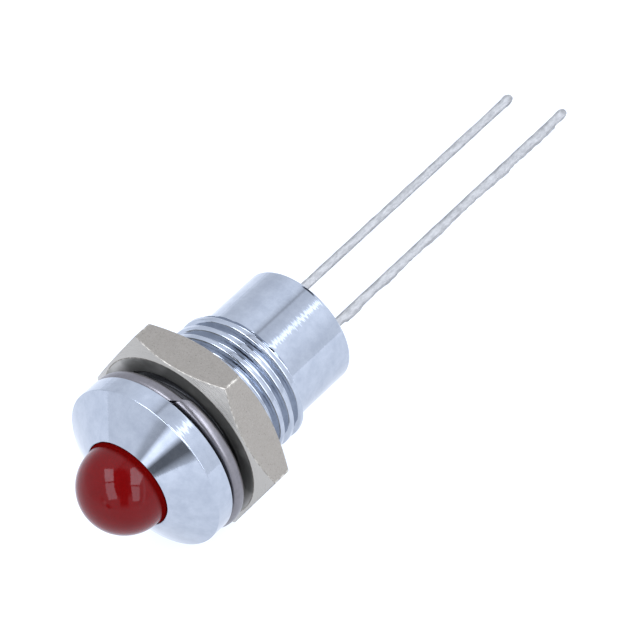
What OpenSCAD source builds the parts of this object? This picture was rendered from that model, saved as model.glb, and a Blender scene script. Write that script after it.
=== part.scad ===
// Panel indicator: a 5 mm red LED held in a chromed brass bezel with an M8 fine
// barrel, a split lock washer and a hex nut, with bare leads out of the back.
// Lengths are millimetres. The object lies on a flat of its nut, as it comes to
// rest on a bench: the dome looks along -Y, the leads run back along +Y, and the
// origin is the centre of the rim's back face, where the panel seats.

/* [LED body] */
// Diameter of the lens barrel and its dome
lens_d = 5; // [4:0.1:6]
// Height of the lens from the underside of its flange to the tip
lens_len = 8.6; // [7:0.1:10.5]
// How far the flange at the foot stands out beyond the lens barrel
flange_over = 0.4; // [0.3:0.05:0.6]
// Thickness of the flange
flange_t = 1; // [0.8:0.1:1.3]
// Distance beyond the lens barrel of the flat that marks the cathode side
flat_over = 0.1; // [0.05:0.05:0.25]
// How far the barrel flares out below the dome, to fill the bezel's mouth
flare_over = 0.07; // [0.03:0.01:0.15]
// Length of that flare
flare_len = 0.23; // [0.1:0.01:0.4]

/* [Leads] */
// Side of the square lead wire, and thickness of the stamped frame
lead_w = 0.5; // [0.4:0.05:0.6]
// Centre distance of the two leads
lead_pitch = 2.54; // [2:0.02:3.1]
// Cathode lead, from the underside of the flange to its tip
cathode_len = 27.4; // [15:0.1:33]
// How much further the anode lead reaches
anode_over = 1.9; // [0.5:0.1:4]
// Turn of the leads' plane away from the horizontal, about the axis
lead_roll = 30; // [-90:1:90]

/* [Lead frame] */
// Height above the underside of the flange at which the leads widen
frame_foot = 1.4; // [1.2:0.05:1.6]
// Height of each slanted step in the frame's outline
frame_step = 0.5; // [0.3:0.05:0.6]
// Height of the barbs, which keep the leads from pulling out
barb_len = 1.3; // [1:0.05:1.5]
// How far the barbs stand out beyond the leads
barb_out = 0.22; // [0.1:0.01:0.3]
// Gap between the cathode's side of the frame and the anode's
frame_gap = 0.36; // [0.3:0.02:0.42]
// Height of the reflector cup's mouth above the underside of the flange
cup_h = 4.6; // [4.2:0.1:5.2]
// Depth of the cup
cup_depth = 0.36; // [0.3:0.01:0.45]
// Height of the round block that the cup is pressed into
cup_block = 0.86; // [0.7:0.02:1]
// How far the cup's wall leans out from its floor to its mouth
cup_flare = 0.22; // [0.1:0.01:0.25]
// Wall of the cup at its mouth
cup_wall = 0.12; // [0.08:0.01:0.2]
// How far the anode post stands above the cup's mouth
post_over = 0.15; // [0:0.05:0.5]
// Width of the anode post at its top
post_w = 0.42; // [0.3:0.02:0.5]

/* [Die and bond wire] */
// Side of the square LED die
die_w = 0.3; // [0.2:0.01:0.36]
// Thickness of the die
die_t = 0.2; // [0.1:0.01:0.25]
// Room on the cup's floor beside each side of the die
die_room = 0.13; // [0.1:0.01:0.2]
// Diameter of the bond wire
bond_d = 0.03; // [0.025:0.005:0.05]

/* [Bezel nose and rim] */
// How far the rim reaches beyond the thread, over the edge of the panel hole
rim_over = 0.95; // [0.7:0.05:2]
// Width of the rim's straight edge, from the panel to the foot of the cone
rim_w = 1.1; // [0.6:0.05:1.6]
// Length of the cone in front of the rim
nose_len = 1.36; // [0.8:0.02:2]
// Width of the flat lip round the lens
lip_w = 0.06; // [0.04:0.01:0.4]
// Edge break on the rim
rim_break = 0.08; // [0.04:0.01:0.15]
// Clearance all round the lens in the nose
lens_clear = 0.03; // [0.02:0.01:0.1]

/* [Barrel] */
// Wall from the LED's bore to the thread's crests
barrel_wall = 1; // [0.85:0.05:1.5]
// Distance from the panel face to the end of the full thread
thread_len = 6.78; // [5.6:0.02:8.4]
// Length of the undercut behind the rim
relief_len = 0.3; // [0.1:0.05:0.6]
// Depth of the undercut below the crests
relief_depth = 0.4; // [0.2:0.05:0.6]
// Angle of the bevel that ends the thread, away from square
end_bevel = 35; // [20:1:60]
// Wall of the plain sleeve behind the thread
sleeve_wall = 0.51; // [0.4:0.01:0.7]
// Length of the barrel, from the panel face to its back end
barrel_len = 11.24; // [9.3:0.02:13.6]
// Edge break at the sleeve's back end
sleeve_break = 0.14; // [0.05:0.01:0.2]
// Depth of the shoulder that the lens flange seats on, behind the panel face
seat_depth = 2.41; // [1.5:0.01:2.8]
// Clearance all round the flange in the bore
flange_clear = 0.05; // [0.02:0.01:0.1]

/* [Potting] */
// Depth of the potting's face inside the barrel's back end
pot_recess = 0.5; // [0.2:0.05:1.5]

/* [Lock washer] */
// Radial width of the washer's section
washer_w = 0.82; // [0.6:0.02:1]
// Thickness of the washer's section
washer_t = 0.82; // [0.5:0.02:1]
// Clearance between the washer's bore and the thread, taken up above the barrel
washer_clear = 0.18; // [0.05:0.01:0.2]
// Offset of one end from the other across the slit
washer_rise = 0.25; // [0.1:0.01:0.5]
// Width of the slit
slit_w = 0.07; // [0.04:0.01:0.3]
// Slant of the slit away from the axis
slit_slant = 55; // [0:1:60]
// Direction of the slit round the axis, from +X towards +Z
slit_at = 74; // [0:1:359]
// Corner radius of the section
washer_round = 0.12; // [0.05:0.01:0.2]

/* [Hex nut] */
// Wall of the nut, from the thread's crests to the middle of a flat
nut_wall = 1.2; // [1:0.05:2.5]
// Thickness of the nut
nut_t = 2.2; // [1.6:0.05:2.7]
// Angle of the corner chamfers on both faces
nut_chamfer = 30; // [20:1:35]
// Diameter of each face inside the chamfer, less than the width across flats by
nut_face_less = 0.35; // [0.2:0.05:0.6]
// Depth of the countersink at each end of the nut's bore
nut_sink = 0.2; // [0.05:0.05:0.4]
// Free space left between the washer and the loosely run up nut
nut_slack = 0.46; // [0.1:0.02:0.9]
// Clearance all round the thread's crests in the nut
nut_clear = 0.02; // [0.01:0.01:0.05]

/* [Hidden] */
$fn = 96;
eps = 0.05;

// Stations along the axis, positive towards the dome, with 0 at the panel face
seat_z = -seat_depth;
flange_z = seat_z - flange_t;
tip_z = flange_z + lens_len;
lip_z = rim_w + nose_len;
relief_z = -relief_len;
back_z = -barrel_len;

// Radii of the LED and, outwards from its bore, of the bezel
lens_r = lens_d / 2;
flange_r = lens_r + flange_over;
flat_x = lens_r + flat_over;
foot_r = lens_r + flare_over;
nose_bore_r = foot_r + lens_clear;
lip_r = nose_bore_r + lip_w;
bore_r = flange_r + flange_clear;
sleeve_r = bore_r + sleeve_wall;
thread_r = bore_r + barrel_wall;
rim_r = thread_r + rim_over;
nose_slope = nose_len / (rim_r - lip_r);
dome_z = tip_z - lens_r;

// Lead frame, in its own plane: distances from the axis and heights
lead_in = (lead_pitch - lead_w) / 2;
lead_out = (lead_pitch + lead_w) / 2;
barb_x = lead_out + barb_out;
cup_floor_r = die_w / 2 + die_room;
cup_mouth_r = cup_floor_r + cup_flare;
cup_r = cup_mouth_r + cup_wall;
anvil_x = cup_r / 2;
post_in = cup_r + frame_gap;
post_out = post_in + post_w;
post_x = (post_in + post_out) / 2;
foot_z = flange_z + frame_foot;
step_z = foot_z + frame_step;
barb_z = foot_z + barb_len;
cup_z = flange_z + cup_h;
die_z = cup_z - cup_depth;
post_z = cup_z + post_over;
cathode_z = flange_z - cathode_len;
anode_z = cathode_z - anode_over;

// The washer hangs on the thread, so its centre is low by its clearance
washer_in_r = thread_r + washer_clear;
washer_out_r = washer_in_r + washer_w;
washer_steps = 72;
washer_touch = 0.005;
washer_drop = washer_clear - washer_touch;
washer_back_z = -washer_rise - washer_t;

nut_front_z = washer_back_z - nut_slack;
nut_af = 2 * (thread_r + nut_wall);
nut_r = nut_af / 2 / cos(30);
nut_face_r = (nut_af - nut_face_less) / 2;
nut_bore_r = thread_r + nut_clear;

// Turns a piece modelled along +Z so that its front looks along -Y
module laid() {
    rotate([90, 0, 0]) children();
}

// Turns a piece with its leads along X into the leads' plane
module rolled() {
    rotate([0, 0, -lead_roll]) children();
}

// One turned section: radius against station, revolved about the axis
module turned(points) {
    rotate_extrude() polygon(points);
}

// A stamped strip of the lead frame, drawn in its own plane and as thick as the wire
module stamped(points) {
    rotate([90, 0, 0])
        translate([0, 0, -lead_w / 2])
            linear_extrude(lead_w) polygon(points);
}

// Bezel section, from the lip over the cone, the rim and the barrel, then up the bore
module bezel_shape() {
    turned([
        [nose_bore_r, lip_z],
        [lip_r, lip_z],
        [rim_r - rim_break, rim_w + rim_break * nose_slope],
        [rim_r, rim_w - rim_break],
        [rim_r, rim_break],
        [rim_r - rim_break, 0],
        [thread_r - relief_depth, 0],
        [thread_r - relief_depth, relief_z],
        [thread_r, relief_z - relief_depth],
        [thread_r, -thread_len],
        [sleeve_r, -thread_len - (thread_r - sleeve_r) * tan(end_bevel)],
        [sleeve_r, back_z + sleeve_break],
        [sleeve_r - sleeve_break, back_z],
        [bore_r, back_z],
        [bore_r, seat_z],
        [nose_bore_r, seat_z]
    ]);
}

// Lens outline: half of a dome on a flared barrel, with the flange and its flat at the foot
module lens_shape() {
    difference() {
        rotate_extrude() intersection() {
            union() {
                translate([0, dome_z]) circle(lens_r);
                polygon([
                    [0, flange_z],
                    [foot_r, flange_z],
                    [foot_r, dome_z - flare_len],
                    [lens_r, dome_z],
                    [0, dome_z]
                ]);
                translate([0, flange_z]) square([flange_r, flange_t]);
            }
            translate([0, flange_z]) square([flange_r, lens_len]);
        }
        rolled() translate([-flat_x - flange_r, -flange_r, flange_z - eps])
            cube([flange_r, 2 * flange_r, flange_t + 2 * eps]);
    }
}

// Cathode: lead, anchoring barb, and the anvil that carries the reflector cup
module cathode_shape() {
    anvil_z = cup_z - cup_block;
    difference() {
        union() {
            stamped([
                [-lead_out, cathode_z],
                [-lead_in, cathode_z],
                [-lead_in, foot_z],
                [-frame_gap, step_z],
                [anvil_x, step_z + frame_step],
                [anvil_x, anvil_z + eps],
                [-cup_r, anvil_z + eps],
                [-barb_x, barb_z],
                [-barb_x, step_z],
                [-lead_out, foot_z]
            ]);
            translate([0, 0, anvil_z]) cylinder(r = cup_r, h = cup_block);
        }
        translate([0, 0, die_z]) cylinder(r1 = cup_floor_r, r2 = cup_mouth_r, h = cup_depth);
        translate([0, 0, cup_z]) cylinder(r = cup_mouth_r, h = eps);
    }
}

// Anode: lead, barb, and the post that the bond wire lands on
module anode_shape() {
    stamped([
        [lead_in, anode_z],
        [lead_out, anode_z],
        [lead_out, foot_z],
        [barb_x, step_z],
        [barb_x, barb_z],
        [post_out, post_z - frame_step],
        [post_out, post_z],
        [post_in, post_z],
        [post_in, barb_z + frame_step],
        [anvil_x + frame_gap, barb_z],
        [anvil_x + frame_gap, step_z],
        [lead_in, foot_z]
    ]);
}

module die_shape() {
    translate([-die_w / 2, -die_w / 2, die_z]) cube([die_w, die_w, die_t]);
}

// Bond wire: up from the die, then a half circle over to the post's top
module bond_shape() {
    translate([0, 0, die_z + die_t]) cylinder(d = bond_d, h = post_z - die_z - die_t);
    translate([post_x / 2, 0, post_z])
        rotate([90, 0, 0])
            rotate_extrude(angle = 180) translate([post_x / 2, 0]) circle(d = bond_d);
}

module bezel_body() {
    color([0.78, 0.82, 0.88]) laid() bezel_shape();
}

// Lens: moulded round the lead frame, so its hollow is the frame's own shape
module led_lens() {
    color([0.5, 0.04, 0.07]) laid() difference() {
        lens_shape();
        rolled() {
            cathode_shape();
            anode_shape();
            die_shape();
            bond_shape();
        }
    }
}

module cathode_lead() {
    color([0.82, 0.83, 0.85]) laid() rolled() cathode_shape();
}

module anode_lead() {
    color([0.82, 0.83, 0.85]) laid() rolled() anode_shape();
}

module led_die() {
    color([0.85, 0.75, 0.35]) laid() rolled() die_shape();
}

module bond_wire() {
    color([0.9, 0.75, 0.3]) laid() rolled() bond_shape();
}

// Potting: fills the bore behind the flange and grips the leads
module rear_potting() {
    pot_z = back_z + pot_recess;
    color([0.08, 0.08, 0.09]) laid() difference() {
        translate([0, 0, pot_z]) cylinder(r = bore_r, h = flange_z - pot_z);
        rolled() {
            cathode_shape();
            anode_shape();
        }
    }
}

// Section of the washer with round corners, as [radius, height] points
function washer_section() = [
    for (c = [[1, -1, -90], [1, 1, 0], [-1, 1, 90], [-1, -1, 180]])
        for (k = [0:3])
            let (a = c[2] + k * 30)
            [(washer_in_r + washer_out_r) / 2 + c[0] * (washer_w / 2 - washer_round)
                 + washer_round * cos(a),
             c[1] * (washer_t / 2 - washer_round) + washer_round * sin(a)]
];

// Split lock washer: the section swept round one left-hand turn, sheared at the slit
module lock_washer() {
    section = washer_section();
    n = len(section);
    open = slit_w / cos(slit_slant) / washer_out_r * 180 / PI;
    slant = tan(slit_slant) / washer_out_r * 180 / PI;
    first = slit_at + open / 2;
    turn = 360 - open;
    points = [
        for (i = [0:washer_steps])
            let (a = first + turn * i / washer_steps, fall = washer_rise * i / washer_steps)
            for (p = section)
                let (b = a + slant * p[1])
                [p[0] * cos(b), p[0] * sin(b), p[1] - washer_t / 2 - fall]
    ];
    sides = [
        for (i = [0:washer_steps - 1], j = [0:n - 1])
            let (k = (j + 1) % n)
            for (tri = [[i * n + j, i * n + n + j, i * n + n + k],
                        [i * n + j, i * n + n + k, i * n + k]])
                tri
    ];
    ends = [
        [for (j = [0:n - 1]) j],
        [for (j = [n - 1:-1:0]) washer_steps * n + j]
    ];
    color([0.58, 0.58, 0.61]) laid() translate([0, -washer_drop, 0])
        polyhedron(points, concat(sides, ends));
}

// Hex nut: the hexagon cut by a cone from each face, with a plain bore at the crests
module hex_nut() {
    fall = (nut_r - nut_face_r) * tan(nut_chamfer);
    color([0.68, 0.67, 0.66]) laid() translate([0, 0, nut_front_z - nut_t]) difference() {
        intersection() {
            cylinder(r = nut_r, h = nut_t, $fn = 6);
            turned([
                [0, 0],
                [nut_face_r, 0],
                [nut_r, fall],
                [nut_r, nut_t - fall],
                [nut_face_r, nut_t],
                [0, nut_t]
            ]);
        }
        turned([
            [0, -eps],
            [nut_bore_r + nut_sink + eps, -eps],
            [nut_bore_r, nut_sink],
            [nut_bore_r, nut_t - nut_sink],
            [nut_bore_r + nut_sink + eps, nut_t + eps],
            [0, nut_t + eps]
        ]);
    }
}

bezel_body();
led_lens();
cathode_lead();
anode_lead();
led_die();
bond_wire();
rear_potting();
lock_washer();
hex_nut();
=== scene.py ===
# Looks of the LED panel indicator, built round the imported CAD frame.
# Lengths in the constants are millimetres and angles are degrees. MM turns lengths into metres.
import math

import bmesh
import bpy
from mathutils import Matrix, Vector, noise


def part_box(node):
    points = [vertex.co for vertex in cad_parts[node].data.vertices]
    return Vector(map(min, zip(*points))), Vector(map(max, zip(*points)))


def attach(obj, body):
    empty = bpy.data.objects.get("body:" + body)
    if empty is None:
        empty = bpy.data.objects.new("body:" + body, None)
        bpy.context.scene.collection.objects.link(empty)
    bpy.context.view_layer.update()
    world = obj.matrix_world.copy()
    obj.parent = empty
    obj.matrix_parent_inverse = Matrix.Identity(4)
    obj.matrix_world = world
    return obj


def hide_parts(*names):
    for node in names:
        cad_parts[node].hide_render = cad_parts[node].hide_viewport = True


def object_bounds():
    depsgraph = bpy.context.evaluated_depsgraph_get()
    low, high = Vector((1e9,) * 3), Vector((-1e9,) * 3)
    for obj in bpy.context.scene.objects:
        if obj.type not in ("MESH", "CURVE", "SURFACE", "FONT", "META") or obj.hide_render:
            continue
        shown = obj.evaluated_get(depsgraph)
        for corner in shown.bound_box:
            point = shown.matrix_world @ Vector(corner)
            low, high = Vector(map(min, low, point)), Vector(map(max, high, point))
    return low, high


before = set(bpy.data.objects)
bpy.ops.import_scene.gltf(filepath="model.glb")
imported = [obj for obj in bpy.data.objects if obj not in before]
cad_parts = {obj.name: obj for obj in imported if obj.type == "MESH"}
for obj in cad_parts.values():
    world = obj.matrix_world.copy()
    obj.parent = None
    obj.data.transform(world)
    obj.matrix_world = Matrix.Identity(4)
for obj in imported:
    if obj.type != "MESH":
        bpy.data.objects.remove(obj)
cad_low, cad_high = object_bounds()
MM = 0.001

# Sizes read from the frame. A station is a distance along the axis, positive towards the dome,
# so it is the row frame's Y turned round.
bezel_low, bezel_high = (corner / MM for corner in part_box("bezel_body"))
lens_low, lens_high = (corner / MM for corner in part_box("led_lens"))
nut_low, nut_high = (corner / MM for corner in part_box("hex_nut"))
washer_low, washer_high = (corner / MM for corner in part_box("lock_washer"))
potting_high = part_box("rear_potting")[1] / MM

LIP = -bezel_low.y
BARREL_END = -bezel_high.y
RIM_R = bezel_high.x
LENS_TIP = -lens_low.y
FLANGE_BACK = -lens_high.y
BORE_R = potting_high.x
POTTING_FACE = -potting_high.y
NUT_FRONT = -nut_low.y
NUT_BACK = -nut_high.y
NUT_APOTHEM = nut_high.z
WASHER_OUT_R = (washer_high.x - washer_low.x) / 2
WASHER_DROP = -(washer_high.z + washer_low.z) / 2
SHORT_LEAD_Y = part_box("cathode_lead")[1].y / MM
LONG_LEAD_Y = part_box("anode_lead")[1].y / MM

# Sizes that the frame's boxes don't show, as in the part's source
LENS_R = 2.5
LENS_FOOT_R = 2.57
FLARE_LEN = 0.23
FLANGE_R = 2.9
FLANGE_T = 1.0
FLAT_X = 2.6  # from the axis to the flat on the flange's side
MOUTH_R = 2.6
LIP_R = 2.66
RIM_W = 1.1
SEAT = -2.41  # station of the shoulder that the lens stands on
RELIEF_LEN = 0.3
THREAD_R = 3.95
THREAD_LEN = 6.78
THREAD_DEPTH = 0.41
THREAD_PITCH = 0.75
END_BEVEL = 35
SLEEVE_R = 3.46
LEAD_W = 0.5
LEAD_PITCH = 2.54
LEAD_ROLL = 30  # how far the pair of leads is turned about the axis
WASHER_W = 0.82
WASHER_T = 0.82
WASHER_RISE = 0.25
SLIT_W = 0.07
SLIT_SLANT = 55
SLIT_AT = 74
NUT_FACE_LESS = 0.35  # how much less the face measures than the nut across its flats
NUT_CHAMFER = 30
NUT_SINK = 0.2  # length of the countersink at each end of the nut's bore

# Ways square to the axis
SEEN_WAY = Vector((0.522, 0, 0.853))  # out of the side that the camera looks at
ACROSS_WAY = Vector((-0.853, 0, 0.522))  # a quarter turn on from that
NICK_WAY = Vector((0.267, 0, 0.964))  # where the end of the barrel has a nick

# How finely round forms are divided
ROUND = 240
THREAD_STEP = 0.025
HIDDEN_STEP = 0.05


# ---------------------------------------------------------------- mesh building

def on_axis(station, radius, angle):
    """A point at a station along the axis, in the row frame and in metres."""
    return Vector((radius * math.cos(angle), -station, radius * math.sin(angle))) * MM


def add_object(name, data):
    """A new object in the scene."""
    added = bpy.data.objects.new(name, data)
    bpy.context.scene.collection.objects.link(added)
    return added


def skin(name, rings, loop=False, caps=False, strip_slots=None, sharp_angle=40):
    """A smooth-shaded object over rings of points.

    loop joins the last ring to the first, and caps closes both ends. strip_slots holds the
    material slot of the strip that follows each ring.
    """
    count = len(rings[0])
    points = [p for ring in rings for p in ring]
    faces = []
    slots = []
    for i in range(len(rings) if loop else len(rings) - 1):
        a = i * count
        b = (i + 1) % len(rings) * count
        for j in range(count):
            k = (j + 1) % count
            faces.append((a + j, a + k, b + k, b + j))
            slots.append(strip_slots[i] if strip_slots else 0)
    if caps:
        faces.append(tuple(range(count)))
        faces.append(tuple(len(points) - count + j for j in reversed(range(count))))
        slots += [slots[0], slots[-1]]
    mesh = bpy.data.meshes.new(name)
    mesh.from_pydata(points, [], faces)
    mesh.polygons.foreach_set("material_index", slots)
    shape = bmesh.new()
    shape.from_mesh(mesh)
    bmesh.ops.recalc_face_normals(shape, faces=shape.faces)
    shape.to_mesh(mesh)
    shape.free()
    mesh.shade_smooth()
    mesh.set_sharp_from_angle(angle=math.radians(sharp_angle))
    return add_object(name, mesh)


def filleted(corners, steps=5, margin=0.02, most=0.45):
    """A line through (station, radius, fillet) corners, each rounded and held by a near point.

    A fillet takes at most the share called most of the shorter line beside it.
    """
    line = []
    for i, (station, radius, fillet) in enumerate(corners):
        here = Vector((station, radius))
        if fillet == 0 or i in (0, len(corners) - 1):
            line.append(here)
            continue
        back = Vector(corners[i - 1][:2]) - here
        ahead = Vector(corners[i + 1][:2]) - here
        half_turn = (math.pi - back.angle(ahead)) / 2
        reach = min(fillet * math.tan(half_turn), most * min(back.length, ahead.length))
        start = here + back.normalized() * reach
        end = here + ahead.normalized() * reach
        line.append(here + back.normalized() * (reach + margin))
        for k in range(steps + 1):
            t = k / steps
            line.append(start.lerp(here, t).lerp(here.lerp(end, t), t))
        line.append(here + ahead.normalized() * (reach + margin))
    return line


def stations(first, last, step):
    """Even places from first to last, about a step apart."""
    count = max(1, round(abs(first - last) / step))
    return [first + (last - first) * i / count for i in range(count + 1)]


def around(count=ROUND):
    """Angles of the points of a full ring."""
    return [math.tau * j / count for j in range(count)]


def lathe_ring(station, radius, count=ROUND):
    return [on_axis(station, radius, a) for a in around(count)]


# ---------------------------------------------------------------- thread form

THREAD_PHASE = -5.8  # station of one crest, at the phase angle
PHASE_ANGLE = 58.5  # from +X towards +Z
CREST = 0.12  # half of the crest's flat, as a share of the pitch
FLANK = 0.35  # run of one flank, as a share of the pitch
SOFTNESS = 0.75  # how round the plating leaves crests and roots
RUN_OUT = 0.4  # from the thread's end to a station past its end bevel


def thread_fall(station, angle):
    """How far the thread lies below its crests: a right-hand helix with softened corners."""
    turned = (angle - math.radians(PHASE_ANGLE)) / math.tau
    turns = (station - THREAD_PHASE) / THREAD_PITCH - turned
    off = abs(turns - round(turns))
    run = min(max((off - CREST) / FLANK, 0), 1)
    run -= SOFTNESS * math.sin(math.tau * run) / math.tau
    return THREAD_DEPTH * run


def thread_envelope(station):
    """The largest radius the barrel has at a station: the undercut's slope and the end bevel."""
    relief_r = THREAD_R - THREAD_DEPTH
    slope = relief_r + max(0, -RELIEF_LEN - station)
    bevel = THREAD_R - (-THREAD_LEN - station) / math.tan(math.radians(END_BEVEL))
    return min(THREAD_R, slope, bevel)


def thread_radius(station, angle):
    return max(SLEEVE_R, min(THREAD_R - thread_fall(station, angle), thread_envelope(station)))


# ---------------------------------------------------------------- node helpers

class Nodes:
    """Short calls for the few kinds of node that the materials and the world use."""

    def __init__(self, tree):
        self.tree = tree

    def make(self, kind, **settings):
        made = self.tree.nodes.new(kind)
        for name, value in settings.items():
            setattr(made, name, value)
        return made

    def plug(self, value, socket):
        """Link another node's output to a socket, or set a plain value on it."""
        if isinstance(value, bpy.types.NodeSocket):
            self.tree.links.new(value, socket)
        else:
            socket.default_value = value

    def surface(self, shader, color, roughness, normal=None):
        self.plug(color, shader.inputs["Base Color"])
        self.plug(roughness, shader.inputs["Roughness"])
        if normal is not None:
            self.plug(normal, shader.inputs["Normal"])

    def math(self, operation, a, b=0.0):
        made = self.make("ShaderNodeMath", operation=operation)
        self.plug(a, made.inputs[0])
        self.plug(b, made.inputs[1])
        return made.outputs[0]

    def times(self, a, b):
        return self.math("MULTIPLY", a, b)

    def plus(self, a, b):
        return self.math("ADD", a, b)

    def blend(self, share, a, b):
        """a where share is 0 and b where it is 1."""
        return self.plus(a, self.times(share, self.math("SUBTRACT", b, a)))

    def combine(self, x, y, z):
        made = self.make("ShaderNodeCombineXYZ")
        for value, socket in zip((x, y, z), made.inputs):
            self.plug(value, socket)
        return made.outputs[0]

    def separate(self, vector):
        made = self.make("ShaderNodeSeparateXYZ")
        self.plug(vector, made.inputs[0])
        return made.outputs

    def facing(self, way, direction):
        """How nearly a way points along a direction, as a cosine."""
        made = self.make("ShaderNodeVectorMath", operation="DOT_PRODUCT")
        self.plug(way, made.inputs[0])
        self.plug(Vector(direction).normalized(), made.inputs[1])
        return made.outputs["Value"]

    def place(self):
        """The place on the object, in millimetres."""
        coordinates = self.make("ShaderNodeTexCoord")
        scaled = self.make("ShaderNodeVectorMath", operation="SCALE")
        self.plug(coordinates.outputs["Object"], scaled.inputs[0])
        self.plug(1 / MM, scaled.inputs["Scale"])
        return scaled.outputs[0]

    def stretched_place(self, x_share, y_share, z_share):
        """The place in millimetres, times a share each way, so that noise makes streaks."""
        x, y, z = self.separate(self.place())
        return self.combine(self.times(x, x_share), self.times(y, y_share),
                            self.times(z, z_share))

    def turned_place(self, along, about, face_share=1.7):
        """Coordinates that run in rings about the axis, so that noise makes turning marks.

        along is the marks' number per millimetre of the axis, about their number per radian,
        and face_share keeps them apart on faces square to the axis.
        """
        x, y, z = self.separate(self.place())
        radius = self.math("SQRT", self.plus(self.times(x, x), self.times(z, z)))
        run = self.plus(y, self.times(radius, face_share))
        return self.combine(self.times(self.math("DIVIDE", x, radius), about),
                            self.times(self.math("DIVIDE", z, radius), about),
                            self.times(run, along))

    def noise(self, vector, scale=1.0, detail=3.0, rough=0.5):
        made = self.make("ShaderNodeTexNoise")
        self.plug(vector, made.inputs["Vector"])
        self.plug(scale, made.inputs["Scale"])
        self.plug(detail, made.inputs["Detail"])
        self.plug(rough, made.inputs["Roughness"])
        return made.outputs["Fac"]

    def remap(self, value, low, high, to_low, to_high):
        made = self.make("ShaderNodeMapRange")
        self.plug(value, made.inputs["Value"])
        for name, number in zip(("From Min", "From Max", "To Min", "To Max"),
                                (low, high, to_low, to_high)):
            self.plug(number, made.inputs[name])
        return made.outputs[0]

    def fade(self, value, start, end):
        """0 up to start and 1 from end on; start may also be the larger of the two."""
        return self.remap(value, start, end, 0, 1)

    def band(self, value, start, full, leave, end):
        """1 from full to leave, fading to 0 at start and at end."""
        return self.times(self.fade(value, start, full), self.fade(value, end, leave))

    def spread(self, grain, low, high):
        """Noise, which seldom leaves 0.3 to 0.7, made to run from low to high."""
        return self.remap(grain, 0.3, 0.7, low, high)

    def levels(self, value, stops):
        """A run of brightness, of 2 at most, through (value, brightness) stops."""
        low, high = stops[0][0], stops[-1][0]
        ramp = self.make("ShaderNodeValToRGB")
        elements = ramp.color_ramp.elements
        for index, (place, level) in enumerate(stops):
            share = (place - low) / (high - low)
            stop = elements[index] if index < 2 else elements.new(share)
            stop.position = share
            stop.color = (level / 2, level / 2, level / 2, 1)
        self.plug(self.fade(value, low, high), ramp.inputs["Fac"])
        return self.times(ramp.outputs["Color"], 2.0)

    def mix_color(self, share, a, b):
        made = self.make("ShaderNodeMix", data_type="RGBA")
        self.plug(share, made.inputs["Factor"])
        self.plug((*a, 1) if isinstance(a, tuple) else a, made.inputs[6])
        self.plug((*b, 1) if isinstance(b, tuple) else b, made.inputs[7])
        return made.outputs[2]

    def bump(self, height, distance, normal=None):
        """Height as a share of a distance in millimetres."""
        made = self.make("ShaderNodeBump")
        self.plug(1.0, made.inputs["Strength"])
        self.plug(distance * MM, made.inputs["Distance"])
        self.plug(height, made.inputs["Height"])
        if normal is not None:
            self.plug(normal, made.inputs["Normal"])
        return made.outputs[0]


# ---------------------------------------------------------------- materials

def new_material(name, color, metallic=0.0, roughness=0.4):
    """A Principled material and its node helper; nodes plugged in later override color."""
    mat = bpy.data.materials.new(name)
    mat.use_nodes = True
    shader = mat.node_tree.nodes["Principled BSDF"]
    shader.inputs["Base Color"].default_value = (*color, 1)
    shader.inputs["Metallic"].default_value = metallic
    shader.inputs["Roughness"].default_value = roughness
    return mat, Nodes(mat.node_tree), shader


def chrome_material():
    """Bright bluish chrome over turning marks; painted shade behind the washer, where it is also
    rougher; one nick at the end.
    """
    deep, bright = (0.375, 0.404, 0.454), (0.443, 0.472, 0.521)
    # shaded is the colour of the painted shade in the gap behind the washer; nicked is the dark
    # mark of a nick
    shaded, nicked = (0.09, 0.09, 0.092), (0.02, 0.022, 0.03)
    cone_share = 0.12  # how much of the turning marks the cone shows
    shaded_from, shaded_to = 0.5, 2.4  # along Y, from behind the washer into the nut
    nick_len = 0.2
    mat, n, shader = new_material("bezel_chrome", (0.475, 0.508, 0.565), metallic=1.0)
    x, y, z = n.separate(n.place())

    rings = n.noise(n.turned_place(along=7.0, about=0.5), detail=1.5, rough=0.55)
    rings = n.times(rings, n.remap(y, -RIM_W - 0.1, -RIM_W + 0.15, cone_share, 1.0))
    fine = n.noise(n.turned_place(along=28.0, about=3.0), detail=2)
    smudges = n.noise(n.place(), scale=1.3, detail=6, rough=0.65)
    # painted shade: the thread behind the washer and inside the nut is darkened, and made rougher
    painted_shade_band = n.band(y, shaded_from, shaded_from + 0.25, shaded_to - 0.2, shaded_to)
    towards_nick = n.plus(n.times(x, NICK_WAY.x), n.times(z, NICK_WAY.z))
    nick = n.times(n.fade(towards_nick, 0.991 * SLEEVE_R, 0.996 * SLEEVE_R),
                   n.fade(y, -BARREL_END - nick_len, -BARREL_END - 0.7 * nick_len))

    tint = n.mix_color(n.fade(smudges, 0.35, 0.65), deep, bright)
    tint = n.mix_color(nick, tint, nicked)
    n.surface(shader, n.mix_color(painted_shade_band, tint, shaded),
              n.plus(n.spread(fine, 0.03, 0.08), n.times(painted_shade_band, 0.5)),
              n.bump(fine, 0.0003, n.bump(rings, 0.0062)))
    return mat


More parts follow.
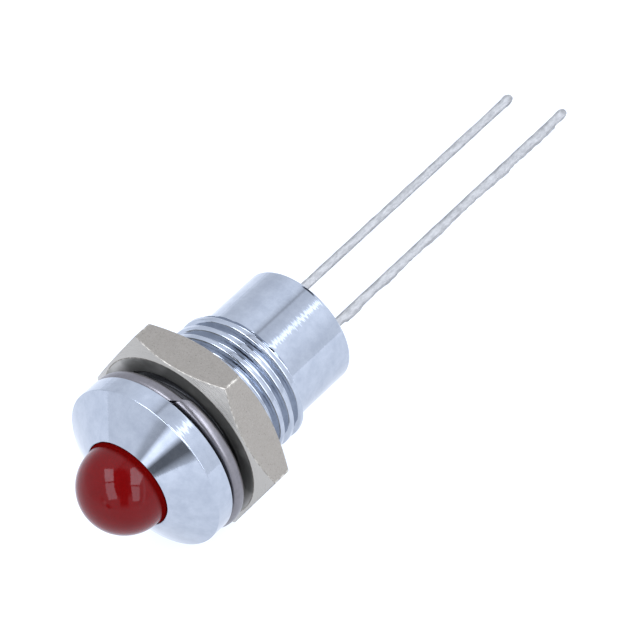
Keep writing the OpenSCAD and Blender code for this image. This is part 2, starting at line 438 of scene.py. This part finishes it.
def lens_material():
    """Diffused red resin: polished on the dome; near the bezel's mouth a painted shade, darker and
    with its reflection turned off.
    """
    lit, lit_more = (0.102, 0.0016, 0.0016), (0.126, 0.0026, 0.003)
    # painted shade: the colour near the lip, where the bezel's mouth shades the resin
    painted_mouth_shade = (0.085, 0.0012, 0.001)
    shade_end, dome_start = 0.24, 0.46  # distances in front of the lip
    mat, n, shader = new_material("red_epoxy", (0.15, 0.003, 0.003), roughness=0.06)
    y = n.separate(n.place())[1]
    # open_dome is 0 in the painted shade by the lip, where the reflection is also turned off
    open_dome = n.fade(y, -LIP - shade_end, -LIP - dome_start)
    dome = n.mix_color(n.noise(n.place(), scale=0.9, detail=2), lit, lit_more)
    n.surface(shader, n.mix_color(open_dome, painted_mouth_shade, dome),
              n.spread(n.noise(n.place(), scale=6), 0.05, 0.08),
              n.bump(n.noise(n.place(), scale=3, detail=1), 0.002))
    n.plug(n.times(open_dome, 0.17), shader.inputs["Specular IOR Level"])
    shader.inputs["Subsurface Weight"].default_value = 0.25
    shader.inputs["Subsurface Radius"].default_value = (1.0, 0.1, 0.1)
    shader.inputs["Subsurface Scale"].default_value = 0.6 * MM
    return mat


def nut_flats_material():
    """Matt plating on the six flats, speckled, and worn bright along the corners."""
    plain, plain_pale = (0.295, 0.27, 0.23), (0.355, 0.32, 0.278)
    speck, speck_pale = (0.255, 0.231, 0.199), (0.392, 0.354, 0.306)
    bare = (0.60, 0.56, 0.48)
    speckle_share = 0.45
    worn_clean, worn_end = 0.008, 0.016  # distances from a corner, as shares of a side
    mat, n, shader = new_material("nut_flats", (0.36, 0.325, 0.28), metallic=1.0)
    x, _, z = n.separate(n.place())
    grain = n.noise(n.place(), scale=11, detail=4, rough=0.75)
    brushed = n.noise(n.stretched_place(16.0, 1.2, 16.0), detail=3)
    plated = n.mix_color(n.noise(n.place(), scale=1.2, detail=3), plain, plain_pale)
    speckled = n.mix_color(n.fade(grain, 0.35, 0.65), speck, speck_pale)
    side = n.math("DIVIDE", n.math("ARCTAN2", z, x), math.pi / 3)
    off_corner = n.math("ABSOLUTE", n.math("SUBTRACT", side, n.math("ROUND", side)))
    worn = n.times(n.fade(off_corner, worn_end, worn_clean),
                   n.fade(n.noise(n.place(), scale=3.5, detail=3), 0.42, 0.6))
    n.surface(shader, n.mix_color(worn, n.mix_color(speckle_share, plated, speckled), bare),
              n.spread(grain, 0.26, 0.4), n.bump(brushed, 0.012, n.bump(grain, 0.02)))
    return mat


def nut_edges_material():
    """The short strips between faces, with the plating rubbed thin in places."""
    # the paler colour is plating rubbed thin at the edges
    dull, wear_and_light_patch = (0.25, 0.23, 0.2), (0.45, 0.414, 0.36)
    mat, n, shader = new_material("nut_edges", (0.6, 0.55, 0.48), metallic=1.0)
    wear = n.fade(n.noise(n.place(), scale=5, detail=4), 0.45, 0.65)
    n.surface(shader, n.mix_color(wear, dull, wear_and_light_patch),
              n.spread(n.noise(n.place(), scale=7), 0.4, 0.55))
    return mat


def nut_chamfer_material():
    """The turned corner chamfers, paler than the flats."""
    dull, pale = (0.36, 0.338, 0.302), (0.455, 0.428, 0.385)
    mat, n, shader = new_material("nut_chamfer", (0.52, 0.49, 0.44), metallic=1.0)
    marks = n.noise(n.turned_place(along=12.0, about=2.5), detail=4, rough=0.6)
    n.surface(shader, n.mix_color(marks, dull, pale), n.spread(marks, 0.24, 0.36),
              n.bump(marks, 0.006))
    return mat


def nut_face_material():
    """The turned faces and the bore: dark with painted shade, varied along the turning marks, and
    lighter in soft patches of painted light.
    """
    # painted shade: the faces and the bore get a dark base for the gaps they sit in
    painted_face_shade, painted_face_shade_pale = (0.22, 0.21, 0.19), (0.30, 0.29, 0.26)
    painted_light_patch = (0.42, 0.40, 0.365)
    mat, n, shader = new_material("nut_face", (0.28, 0.27, 0.24), metallic=0.85)
    marks = n.noise(n.turned_place(along=10.0, about=1.5), detail=3)
    # painted light: soft patches where the dark faces are lightened
    wear_and_light_patch = n.fade(n.noise(n.place(), scale=0.45, detail=2), 0.5, 0.62)
    n.surface(shader, n.mix_color(wear_and_light_patch, n.mix_color(marks, painted_face_shade, painted_face_shade_pale), painted_light_patch),
              n.spread(marks, 0.32, 0.42), n.bump(marks, 0.0004))
    return mat


def washer_material():
    """Plated spring steel, dull and slightly purple, drawn lengthwise."""
    dull, pale = (0.15, 0.142, 0.148), (0.26, 0.243, 0.252)
    mat, n, shader = new_material("spring_steel", (0.3, 0.3, 0.33), metallic=1.0)
    drawn = n.noise(n.turned_place(along=9.0, about=1.4), detail=4, rough=0.6)
    spots = n.noise(n.place(), scale=5, detail=4, rough=0.7)
    n.surface(shader, n.mix_color(spots, dull, pale), n.spread(drawn, 0.28, 0.42),
              n.bump(drawn, 0.006))
    return mat


def tin_material():
    """Solder-dipped wire: satin, with ripples where the tin froze."""
    grey, pale = (0.295, 0.291, 0.286), (0.44, 0.434, 0.422)
    mat, n, shader = new_material("tinned_lead", (0.75, 0.76, 0.78), metallic=1.0)
    ripple = n.noise(n.stretched_place(2.0, 0.7, 2.0), scale=3.0, detail=5, rough=0.7)
    n.surface(shader, n.mix_color(n.fade(ripple, 0.38, 0.62), grey, pale),
              n.spread(ripple, 0.5, 0.66), n.bump(ripple, 0.007))
    return mat


def potting_material():
    """Black resin with a skin that dried slightly uneven."""
    black, dusty = (0.008, 0.008, 0.009), (0.02, 0.02, 0.022)
    mat, n, shader = new_material("potting", (0.012, 0.012, 0.013))
    wrinkles = n.noise(n.place(), scale=3.5, detail=4)
    n.surface(shader, n.mix_color(wrinkles, black, dusty), n.spread(wrinkles, 0.22, 0.42),
              n.bump(wrinkles, 0.03))
    return mat


def die_material():
    """The die's yellowish crystal with its saw marks."""
    dark, pale = (0.75, 0.6, 0.25), (0.9, 0.78, 0.4)
    mat, n, shader = new_material("die", (0.85, 0.72, 0.33), roughness=0.3)
    saw = n.noise(n.place(), scale=20, detail=2)
    n.surface(shader, n.mix_color(saw, dark, pale), n.spread(saw, 0.2, 0.4))
    return mat


def gold_material():
    """Drawn gold wire."""
    deep, pale = (0.85, 0.62, 0.22), (0.95, 0.75, 0.35)
    mat, n, shader = new_material("bond_gold", (0.9, 0.68, 0.28), metallic=1.0)
    drawn = n.noise(n.place(), scale=30, detail=2)
    n.surface(shader, n.mix_color(drawn, deep, pale), n.spread(drawn, 0.15, 0.3))
    return mat


def dress(piece, *materials):
    """Give an object these materials and no others."""
    if piece.data.materials:  # clearing them also sends every face back to the first slot
        piece.data.materials.clear()
    for mat in materials:
        piece.data.materials.append(mat)


# ---------------------------------------------------------------- bezel and lens

def make_bezel():
    """Turned bezel: nose, rim and undercut, then the cut thread, the sleeve and the bore."""
    lip_in, lip_out, rim_edge, relief_root = 0.02, 0.015, 0.07, 0.03
    end_edge, bore_edge = 0.14, 0.05
    front = filleted([
        (SEAT, MOUTH_R, 0),
        (LIP, MOUTH_R, lip_in),
        (LIP, LIP_R, lip_out),
        (RIM_W, RIM_R, rim_edge),
        (0, RIM_R, rim_edge),
        (0, THREAD_R - THREAD_DEPTH, relief_root),
        (-RELIEF_LEN, THREAD_R - THREAD_DEPTH, 0),
    ])
    thread_end = -THREAD_LEN - RUN_OUT
    rear = filleted([
        (thread_end - 0.1, SLEEVE_R, 0),
        (BARREL_END, SLEEVE_R, end_edge),
        (BARREL_END, BORE_R, bore_edge),
        (SEAT, BORE_R, 0),
    ])
    hidden = stations(-RELIEF_LEN, NUT_BACK + THREAD_PITCH, HIDDEN_STEP)
    shown = stations(hidden[-1], thread_end, THREAD_STEP)
    rings = [lathe_ring(*p) for p in front]
    for station in hidden[1:] + shown[1:]:
        rings.append([on_axis(station, thread_radius(station, a), a) for a in around()])
    rings += [lathe_ring(*p) for p in rear]
    return skin("bezel", rings, loop=True)


def lens_outline(dome_steps=48, flare_steps=8, centre_r=0.01):
    """The lens's (station, radius) outline: the dome, the flared foot, the flange, the back."""
    centre = LENS_TIP - LENS_R
    line = []
    for k in range(1, dome_steps + 1):
        a = math.radians(90) * k / dome_steps
        line.append((centre + LENS_R * math.cos(a), LENS_R * math.sin(a)))
    for k in range(1, flare_steps + 1):
        share = k / flare_steps
        line.append((centre - FLARE_LEN * share, LENS_R + (LENS_FOOT_R - LENS_R) * share ** 2))
    flange_top = FLANGE_BACK + FLANGE_T
    return line + [(flange_top, LENS_FOOT_R), (flange_top, FLANGE_R), (FLANGE_BACK, FLANGE_R),
                   (FLANGE_BACK, centre_r)]


def make_lens():
    """Cast lens, with a flat down the side of its flange."""
    flat_angle = math.pi - math.radians(LEAD_ROLL)
    rings = []
    for station, radius in lens_outline():
        ring = []
        for a in around():
            limit = FLAT_X / max(0.01, math.cos(a - flat_angle))
            ring.append(on_axis(station, min(radius, limit), a))
        rings.append(ring)
    return skin("lens", rings, caps=True)


# ---------------------------------------------------------------- nut and washer

FLAT, EDGE, FACE, CHAMFER = range(4)  # the nut's material slots


def nut_materials():
    """The nut's materials, in the order of its slots."""
    return [nut_flats_material(), nut_edges_material(), nut_face_material(),
            nut_chamfer_material()]


def hexagon(rounding=0.07, per_corner=6, per_side=32):
    """Outline of the nut: six flats joined by small arcs, as (angle, radius) points."""
    sixth = math.tau / 6
    to_centre = (NUT_APOTHEM - rounding) / math.cos(sixth / 2)

    def corner_arc(corner):
        centre = Vector((math.cos(corner), math.sin(corner))) * to_centre
        turns = [corner + sixth * (k / per_corner - 0.5) for k in range(per_corner + 1)]
        return [centre + Vector((math.cos(a), math.sin(a))) * rounding for a in turns]

    arcs = [corner_arc(sixth * side) for side in range(6)]
    points = []
    for side, arc in enumerate(arcs):
        onward = arcs[(side + 1) % 6][0]
        points += arc + [arc[-1].lerp(onward, k / per_side) for k in range(1, per_side)]
    return [(math.atan2(p.y, p.x), p.length) for p in points]


def make_nut():
    """Hex nut: flats, corner chamfers, bearing faces and a bore that fits the barrel's thread."""
    outline = hexagon()
    face_r = NUT_APOTHEM - NUT_FACE_LESS / 2
    slope = math.tan(math.radians(NUT_CHAMFER))
    clear = 0.02  # between the two threads
    soft = 0.03  # width of the strips that ease the edges

    def ring(place):
        return [on_axis(*place(a, r), a) for a, r in outline]

    def bore_ring(station):
        end_gap = min(NUT_FRONT - station, station - NUT_BACK)
        sunk_r = THREAD_R + NUT_SINK - end_gap if end_gap < NUT_SINK else 0
        return ring(lambda a, r: (station, max(thread_radius(station, a) + clear, sunk_r)))

    def end_rings(station, sign):
        """Face edge, start and end of the chamfer, and flat edge, at one end of the nut."""
        return [ring(lambda a, r: (station, face_r - soft)),
                ring(lambda a, r: (station - sign * soft * slope * 0.6, face_r + soft)),
                ring(lambda a, r: (station - sign * (r - face_r - soft) * slope, r - soft)),
                ring(lambda a, r: (station - sign * ((r - face_r) * slope + soft), r))]

    bore = [bore_ring(station) for station in stations(NUT_BACK, NUT_FRONT, THREAD_STEP)]
    front = end_rings(NUT_FRONT, 1)
    back = end_rings(NUT_BACK, -1)[::-1]
    middle = [[a.lerp(b, share) for a, b in zip(front[-1], back[0])] for share in (0.33, 0.66)]
    slots = [FACE] * len(bore) + [EDGE, CHAMFER, EDGE, FLAT] + [FLAT] * len(middle)
    slots += [EDGE, CHAMFER, EDGE, FACE]
    return skin("nut", bore + front + middle + back, loop=True, strip_slots=slots,
                sharp_angle=12)


def washer_section(rounding=0.35, per_corner=6):
    """The spring wire's rounded section, as (radius, height) points."""
    middle = WASHER_OUT_R - WASHER_W / 2
    section = []
    for start, side_r, side_t in ((-90, 1, -1), (0, 1, 1), (90, -1, 1), (180, -1, -1)):
        for k in range(per_corner + 1):
            a = math.radians(start + 90 * k / per_corner)
            section.append((middle + side_r * (WASHER_W / 2 - rounding) + rounding * math.cos(a),
                            side_t * (WASHER_T / 2 - rounding) + rounding * math.sin(a)))
    return section


def make_washer():
    """Split spring washer: its section swept round a left-hand turn, cut on the slant."""
    steps = 220
    slit = math.degrees(SLIT_W / math.cos(math.radians(SLIT_SLANT)) / WASHER_OUT_R)
    slant = math.tan(math.radians(SLIT_SLANT)) / WASHER_OUT_R
    first = math.radians(SLIT_AT + slit / 2)
    turn = math.radians(360 - slit)
    drop = Vector((0, 0, WASHER_DROP * MM))
    section = washer_section()
    rings = []
    for i in range(steps + 1):
        share = i / steps
        ring = []
        for radius, height in section:
            angle = first + turn * share + slant * height
            station = height - WASHER_T / 2 - WASHER_RISE * share
            ring.append(on_axis(station, radius, angle) - drop)
        rings.append(ring)
    return skin("washer", rings, caps=True, sharp_angle=60)


# ---------------------------------------------------------------- leads and potting

LEAD_STEP = 0.12
LEAD_POINTS = 24
LEAD_HIDDEN = 1.5  # how far inside the barrel's end the wire made here starts
LEAD_FILL = 0.97  # the bare wire's share of the lead's width in the frame
SQUARENESS = 5  # power of the section's rounded square
LUMPS = 0.09  # height of the tin's lumps, as a share of the wire
TIP_LEN = 0.5  # length of the rounded tip
TIP_STEPS = 8
TIP_SHARE = 0.02  # share of its width that the very tip keeps
BLOB_AT = 0.42  # from the tip to the middle of its blob of solder
BLOB_LEN = 0.27
BLOB_SWELL = 0.15
FIN_FROM, FIN_TO = 13.5, 31.4  # where the ragged fin starts and ends, along Y
FIN_HEIGHT = 0.06
FIN_RAGGED = 0.08
FIN_SPREAD = 0.5  # cosine, from the fin's middle, of the way at which it dies out


def lead_axis(side):
    """Where a lead's middle crosses the row frame's X and Z, side -1 for the cathode."""
    angle = math.radians(-LEAD_ROLL)
    return Vector((math.cos(angle), 0, math.sin(angle))) * side * LEAD_PITCH / 2


def lead_fin(y, way):
    """Height of the ragged fin of tin that ran down one side of the longer lead."""
    facing = -way.dot(ACROSS_WAY)
    if facing < FIN_SPREAD or not FIN_FROM < y < FIN_TO:
        return 0.0
    ragged = (noise.noise(Vector((y * 0.6, 5.2, 1.7)))
              + 0.7 * noise.noise(Vector((y * 3.3, 2.4, 6.3))))
    height = max(0.0, FIN_HEIGHT + FIN_RAGGED * ragged)
    return height * (facing - FIN_SPREAD) / (1 - FIN_SPREAD)


def lead_ring(side, y, tip):
    """One ring of a tinned wire: a rounded square with lumps, closing at the tip."""
    roll = Matrix.Rotation(math.radians(LEAD_ROLL), 3, "Y")
    left = (tip - y) / TIP_LEN
    closing = math.sqrt(max(0.0, 1 - (1 - left) ** 2)) if left < 1 else 1.0
    swell = 1 + BLOB_SWELL * math.exp(-((tip - y - BLOB_AT) / BLOB_LEN) ** 2)
    middle = lead_axis(side) + Vector((0, y, 0))
    ring = []
    for a in around(LEAD_POINTS):
        c, s = math.cos(a), math.sin(a)
        square = (abs(c) ** SQUARENESS + abs(s) ** SQUARENESS) ** (-1 / SQUARENESS)
        lump = 1 + LUMPS * noise.noise(Vector((c * 1.1, y * 1.3 + side * 40, s * 1.1)))
        radius = LEAD_W / 2 * square * lump * swell * max(closing, TIP_SHARE) * LEAD_FILL
        way = roll @ Vector((c, 0, s))
        if side > 0:
            radius += lead_fin(y, way)
        ring.append((middle + way * radius) * MM)
    return ring


def make_lead(name, node, side, tip):
    """The stamped frame as packed, with the bare wire behind it made again: tinned and uneven."""
    start = -BARREL_END - LEAD_HIDDEN
    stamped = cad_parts[node].data.copy()
    shape = bmesh.new()
    shape.from_mesh(stamped)
    bmesh.ops.bisect_plane(shape, geom=shape.verts[:] + shape.edges[:] + shape.faces[:],
                           plane_co=(0, start * MM, 0), plane_no=(0, 1, 0), clear_outer=True)
    shape.to_mesh(stamped)
    shape.free()
    stamped.materials.clear()

    places = stations(start, tip - TIP_LEN, LEAD_STEP)
    for k in range(1, TIP_STEPS + 1):
        places.append(tip - TIP_LEN * (1 - math.sin(math.radians(90 * k / TIP_STEPS))))
    wire = skin(name, [lead_ring(side, y, tip) for y in places], caps=True, sharp_angle=60)
    joined = bmesh.new()
    joined.from_mesh(wire.data)
    joined.from_mesh(stamped)
    joined.to_mesh(wire.data)
    joined.free()
    bpy.data.meshes.remove(stamped)
    return wire


def potting_height(x, z):
    """How far the resin's face stands up: at the bore's wall, at the leads and in ripples."""
    wall_climb, wall_fade, lead_climb, lead_fade, ripples = 0.28, 0.22, 0.2, 0.16, 0.02
    up = wall_climb * (math.exp((math.hypot(x, z) - BORE_R) / wall_fade) - 0.5)
    for side in (-1, 1):
        lead = lead_axis(side)
        gap = math.hypot(x - lead.x, z - lead.z) - LEAD_W / 2
        up += lead_climb * math.exp(-max(gap, 0) / lead_fade)
    return up + ripples * noise.noise(Vector((x * 1.4, 0, z * 1.4)))


def make_potting():
    """Resin plug: the visible face climbs the bore's wall and the two leads."""
    steps, count = 26, 96
    rings = []
    for k in range(1, steps + 1):
        radius = BORE_R * math.sin(math.radians(90 * k / steps))
        ring = []
        for a in around(count):
            x, z = radius * math.cos(a), radius * math.sin(a)
            ring.append(Vector((x, -POTTING_FACE + potting_height(x, z), z)) * MM)
        rings.append(ring)
    rings.append(lathe_ring(FLANGE_BACK, BORE_R, count))
    return skin("potting_plug", rings, caps=True, sharp_angle=60)


# ---------------------------------------------------------------- studio

LIGHT = (1.0, 1.07, 1.22)  # the studio's light: a cool white
ROOM_LEVEL = 1.15
VIEW_AZIMUTH = 41.1
VIEW_ELEVATION = 47.2
VIEW_ROLL = -2.8
VIEW_DISTANCE = 254.2
VIEW_TARGET = Vector((3.31, 9.16, 4.37))
VIEW_LENS = 281.25
VIEW_CLIP = (10, 10000)
SOFTBOX_DISTANCE = 700
FLOOR_X = (-60, 600)
FLOOR_Y = (-45, 600)
FLOOR_GLOW = 0.82


def make_camera():
    """A long lens that looks down on the nose, the nut and the barrel's seen side."""
    azimuth, elevation = math.radians(VIEW_AZIMUTH), math.radians(VIEW_ELEVATION)
    back = Vector((math.sin(azimuth) * math.cos(elevation),
                   -math.cos(azimuth) * math.cos(elevation), math.sin(elevation)))
    camera = add_object("camera", bpy.data.cameras.new("camera"))
    camera.data.lens = VIEW_LENS
    camera.data.clip_start, camera.data.clip_end = (length * MM for length in VIEW_CLIP)
    camera.location = (VIEW_TARGET + back * VIEW_DISTANCE) * MM
    turned = (-back).to_track_quat("-Z", "Y").to_matrix() @ Matrix.Rotation(
        math.radians(VIEW_ROLL), 3, "Z")
    camera.rotation_euler = turned.to_euler()
    bpy.context.scene.camera = camera


def softbox_material():
    """White cloth with the lamp behind it, a little uneven; each panel holds its radiance."""
    mat = bpy.data.materials.new("softbox_cloth")
    mat.use_nodes = True
    n = Nodes(mat.node_tree)
    mat.node_tree.nodes.clear()
    glow = n.make("ShaderNodeEmission")
    glow.inputs["Color"].default_value = (*LIGHT, 1)
    way = n.make("ShaderNodeTexCoord").outputs["Object"]
    unevenness = n.remap(n.noise(way, scale=6, detail=2), 0.2, 0.8, 0.9, 1.1)
    radiance = n.make("ShaderNodeAttribute", attribute_name="radiance",
                      attribute_type="GEOMETRY").outputs["Fac"]
    n.plug(n.times(radiance, unevenness), glow.inputs["Strength"])
    n.plug(glow.outputs["Emission"], n.make("ShaderNodeOutputMaterial").inputs["Surface"])
    return mat


def make_softbox(name, centre, length_way, corners, cloth, radiance):
    """One panel of a softbox that faces the part; corners are (across, along) shares."""
    centre, way = Vector(centre).normalized(), Vector(length_way).normalized()
    way = (way - way.dot(centre) * centre).normalized()
    side = way.cross(centre)
    points = [(centre + side * across + way * along) * SOFTBOX_DISTANCE * MM
              for across, along in corners]
    mesh = bpy.data.meshes.new(name)
    mesh.from_pydata(points, [], [tuple(range(len(corners)))])
    level = mesh.attributes.new("radiance", "FLOAT", "POINT")
    for corner in range(len(corners)):
        level.data[corner].value = radiance
    panel = add_object(name, mesh)
    panel.visible_camera = False
    dress(panel, cloth)


def make_lights():
    """Two softboxes beside the camera, each barred across; the right one's top is slanted."""
    left = (-0.15, -0.73, 0.67), (-0.59, 0.60, 0.54)
    right = (0.80, -0.07, 0.60), (-0.47, 0.60, 0.65)
    cloth = softbox_material()
    for name, (centre, length_way), radiance, corners in (
            ("left_upper", left, 6.5,
             ((-0.09, 0.12), (0.27, 0.09), (0.23, 0.70), (-0.20, 0.70))),
            ("left_lower", left, 5.0,
             ((-0.14, -0.66), (0.29, -0.70), (0.25, 0.04), (-0.10, 0.07))),
            ("right_upper", right, 6.5,
             ((-0.32, 0.09), (0.06, 0.06), (0.28, 0.46), (-0.02, 1.00), (-0.28, 0.90))),
            ("right_lower", right, 4.8,
             ((-0.17, -0.64), (0.13, -0.62), (0.06, 0.01), (-0.30, 0.04)))):
        make_softbox(name, centre, length_way, corners, cloth, radiance)


def room_light(n, x, y, z):
    """The pale room round the axis, with the bright edge of a lamp that leans along it."""
    plain = 0.97
    turn = n.times(n.math("ARCTAN2", z, x), 180 / math.pi)
    room = n.levels(turn, (
        (-180, plain), (9, plain), (29, 1.10), (43, 1.20), (58, 1.22), (74, 1.0), (85, 0.86),
        (93, 0.84), (97, 0.56), (101, 0.85), (109, 1.09), (121, 1.10), (139, 0.96), (159, 0.85),
        (178, 0.86), (180, plain)))
    room = n.blend(n.fade(y, -0.3, -0.6), room, plain)
    lamp_turn = n.math("SUBTRACT", turn, n.times(n.math("SUBTRACT", y, 0.5), 100.0))
    return n.plus(room, n.levels(lamp_turn, (
        (40, 0), (58.5, 0), (59.5, 0.95), (66.5, 0.8), (68, 0.1), (72, 0), (90, 0))))


def nose_light(n, way, room):
    """The room, and straight ahead of the nose a bright lamp between dark gaps for the cone."""
    ahead = n.levels(n.facing(way, ACROSS_WAY), (
        (-0.6, 0.97), (-0.3, 0.95), (-0.22, 0.5), (-0.165, 0.18), (-0.06, 0.18), (-0.02, 0.85),
        (0.01, 1.5), (0.08, 1.7), (0.11, 1.3), (0.15, 0.56), (0.226, 0.64), (0.294, 0.92),
        (0.41, 1.0), (0.6, 0.97)))
    window = n.times(n.fade(n.facing(way, (0, -1, 0)), 0.80, 0.90),
                     n.band(n.facing(way, SEEN_WAY), -0.09, -0.04, 0.07, 0.1))
    return n.blend(window, room, ahead)


def dark_side(n, way, y, z):
    """The share of the room's light that the camera and its dark column leave."""
    camera_way, column_way = (0.33, -0.42, 0.85), (0.658, -0.753, 0)
    beside_column = (0.753, 0.658, 0)
    camera = n.remap(n.facing(way, camera_way), math.cos(math.radians(40)),
                     math.cos(math.radians(30)), 1.0, 0.06)
    camera = n.blend(n.fade(y, -0.05, 0.2), camera, 1.0)
    beside = n.math("ABSOLUTE", n.facing(way, beside_column))
    column = n.times(n.fade(beside, 0.19, 0.13),
                     n.times(n.fade(n.facing(way, column_way), 0.0, 0.2), n.fade(z, -0.1, 0.12)))
    return n.times(camera, n.blend(column, 1.0, 0.05))


def make_world():
    """Pale surroundings with a lamp's edge, dark gaps ahead and the camera's dark side."""
    world = bpy.data.worlds.new("studio")
    world.use_nodes = True
    bpy.context.scene.world = world
    n = Nodes(world.node_tree)
    background = world.node_tree.nodes["Background"]
    background.inputs["Color"].default_value = (*LIGHT, 1)
    way = n.make("ShaderNodeTexCoord").outputs["Generated"]
    x, y, z = n.separate(way)
    level = n.times(nose_light(n, way, room_light(n, x, y, z)), dark_side(n, way, y, z))
    n.plug(n.times(level, ROOM_LEVEL), background.inputs["Strength"])


def floor_material():
    """A pale sweep, faintly uneven, that glows so that shadows stay soft."""
    grey, pale = (0.19, 0.19, 0.19), (0.21, 0.21, 0.21)
    mat, n, shader = new_material("floor", (0.2, 0.2, 0.2), roughness=0.6)
    n.plug(n.mix_color(n.noise(n.place(), scale=0.01), grey, pale), shader.inputs["Base Color"])
    shader.inputs["Emission Color"].default_value = (*LIGHT, 1)
    shader.inputs["Emission Strength"].default_value = FLOOR_GLOW
    return mat


def make_floor():
    """The pale floor, at the height of the nut's lowest flat."""
    left, right = (x * MM for x in FLOOR_X)
    front, back = (y * MM for y in FLOOR_Y)
    low = cad_low.z
    mesh = bpy.data.meshes.new("floor")
    mesh.from_pydata([(left, front, low), (right, front, low), (right, back, low),
                      (left, back, low)], [], [(0, 1, 2, 3)])
    floor = add_object("floor", mesh)
    dress(floor, floor_material())


# ---------------------------------------------------------------- assembly

def main():
    bpy.context.scene.view_settings.view_transform = "Standard"
    tin = tin_material()
    made = (
        (make_bezel(), "bezel_body", "bezel_chrome", [chrome_material()]),
        (make_lens(), "led_lens", "red_epoxy", [lens_material()]),
        (make_lead("short_lead", "cathode_lead", -1, SHORT_LEAD_Y), "cathode_lead",
         "tinned_lead", [tin]),
        (make_lead("long_lead", "anode_lead", 1, LONG_LEAD_Y), "anode_lead",
         "tinned_lead", [tin]),
        (make_potting(), "rear_potting", "potting", [potting_material()]),
        (make_washer(), "lock_washer", "spring_steel", [washer_material()]),
        (make_nut(), "hex_nut", "nut_nickel", nut_materials()),
    )
    for piece, node, slot, materials in made:
        dress(piece, *materials)
        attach(piece, "root")
        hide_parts(node)
    dress(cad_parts["led_die"], die_material())
    dress(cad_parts["bond_wire"], gold_material())
    make_floor()
    make_world()
    make_lights()
    make_camera()


main()
